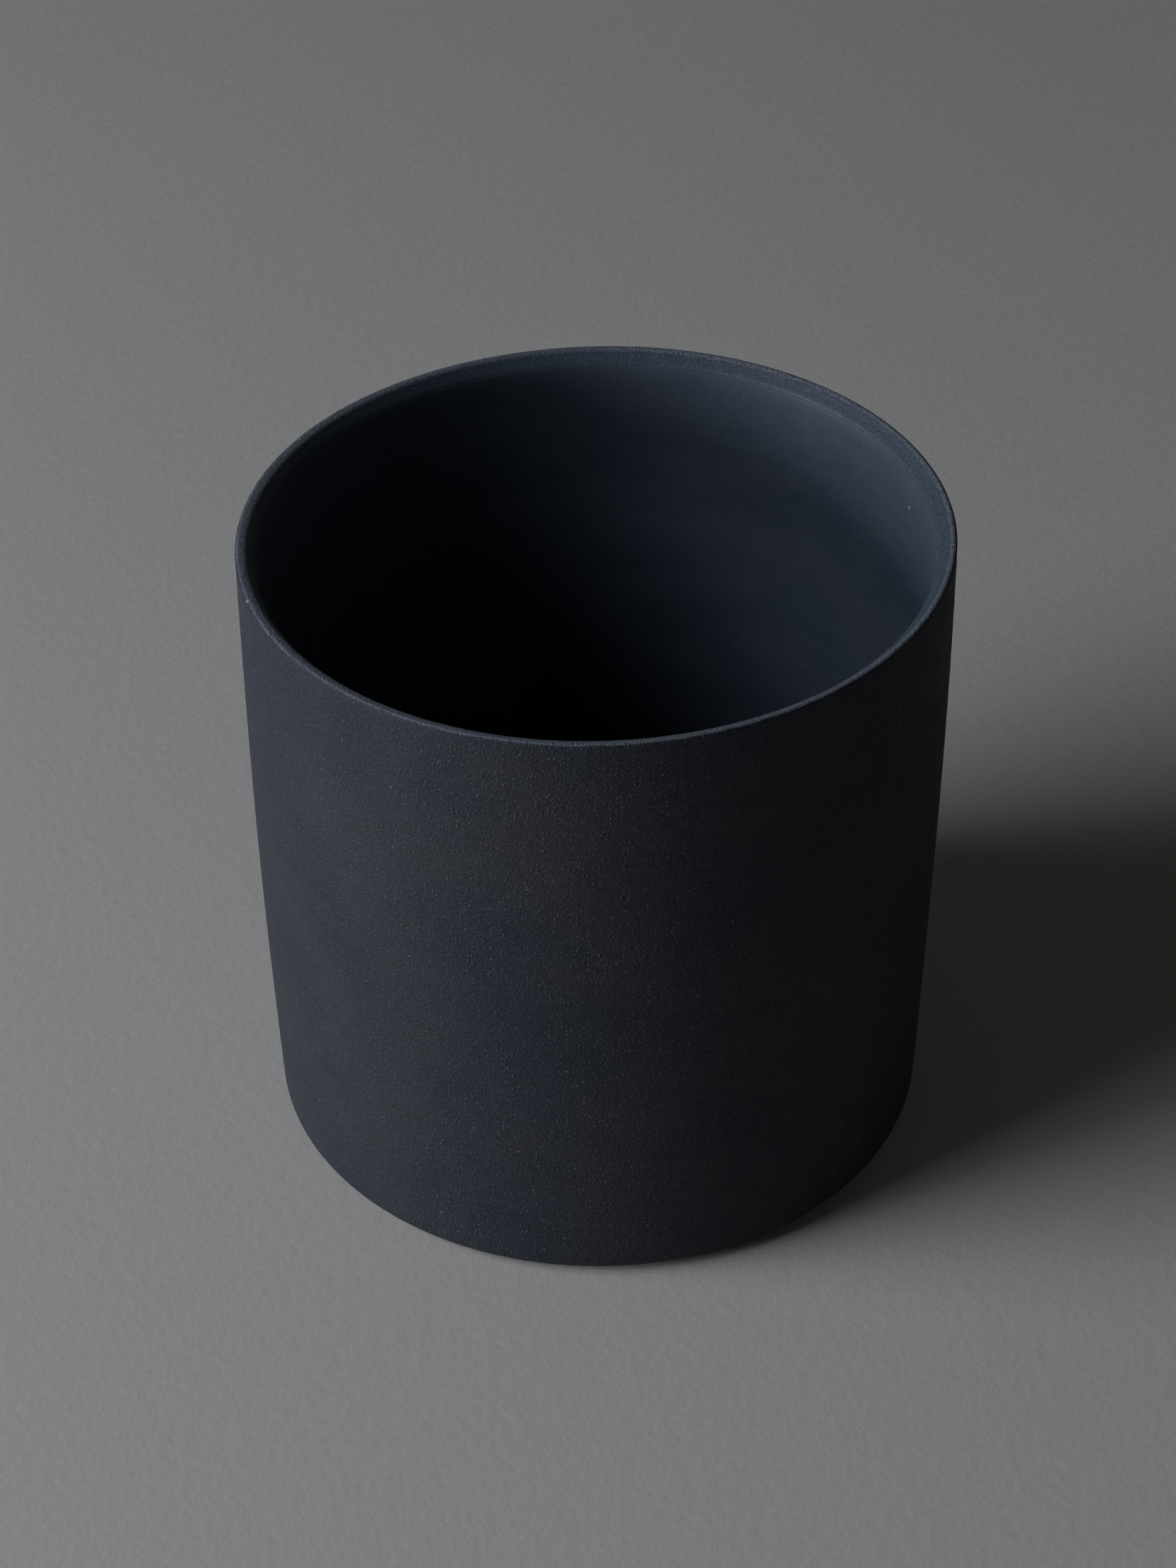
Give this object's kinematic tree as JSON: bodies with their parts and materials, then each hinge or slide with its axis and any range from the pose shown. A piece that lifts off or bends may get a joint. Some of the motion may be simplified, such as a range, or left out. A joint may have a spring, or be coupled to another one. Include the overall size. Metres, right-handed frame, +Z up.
{
  "type": "empty candle jar",
  "caption": "Round open stoneware candle jar with a thin straight wall, a rounded foot edge and a glazed inside, empty and ready to be filled with wax.",
  "frame": {"origin": "centre of the foot, on the surface the jar stands on", "axes": "+Z is up along the jar's axis of symmetry, out of its mouth; the jar is round, so +X and +Y are free"},
  "size_m": [0.08, 0.08, 0.077],
  "materials": {
    "bare_stoneware": "matte",
    "liner_glaze": "satin"
  },
  "bodies": {
    "root": {"jar_body": "bare_stoneware", "inner_glaze": "liner_glaze"}
  },
  "joints": []
}
